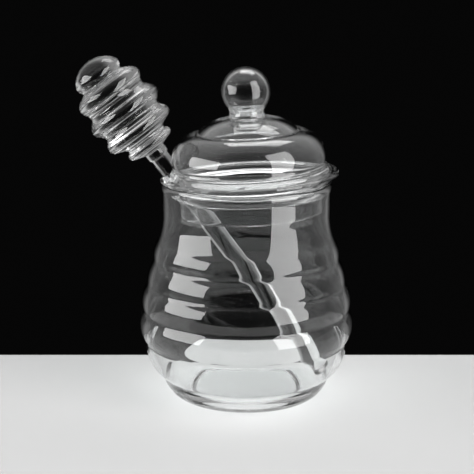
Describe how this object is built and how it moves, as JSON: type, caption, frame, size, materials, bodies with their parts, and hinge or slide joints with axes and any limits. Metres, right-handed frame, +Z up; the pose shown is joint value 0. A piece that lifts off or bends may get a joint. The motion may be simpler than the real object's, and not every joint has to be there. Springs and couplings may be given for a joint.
{
  "type": "glass honey jar with lid and dipper",
  "caption": "Clear blown-glass beehive honey jar with a domed two-tier lid with a ball knob, and a glass honey dipper leaning through the lid's hole.",
  "frame": {"origin": "centre of the jar's foot on the plane it stands on", "axes": "+Z up along the jar's axis, -Y the front, the dipper's head leaning to -X and a little to -Y"},
  "size_m": [0.1153, 0.0902, 0.1429],
  "materials": {
    "jar_glass": "gloss",
    "lid_glass": "gloss",
    "dipper_glass": "gloss"
  },
  "bodies": {
    "root": {"jar": "jar_glass", "lid": "lid_glass", "dipper": "dipper_glass"}
  },
  "joints": []
}
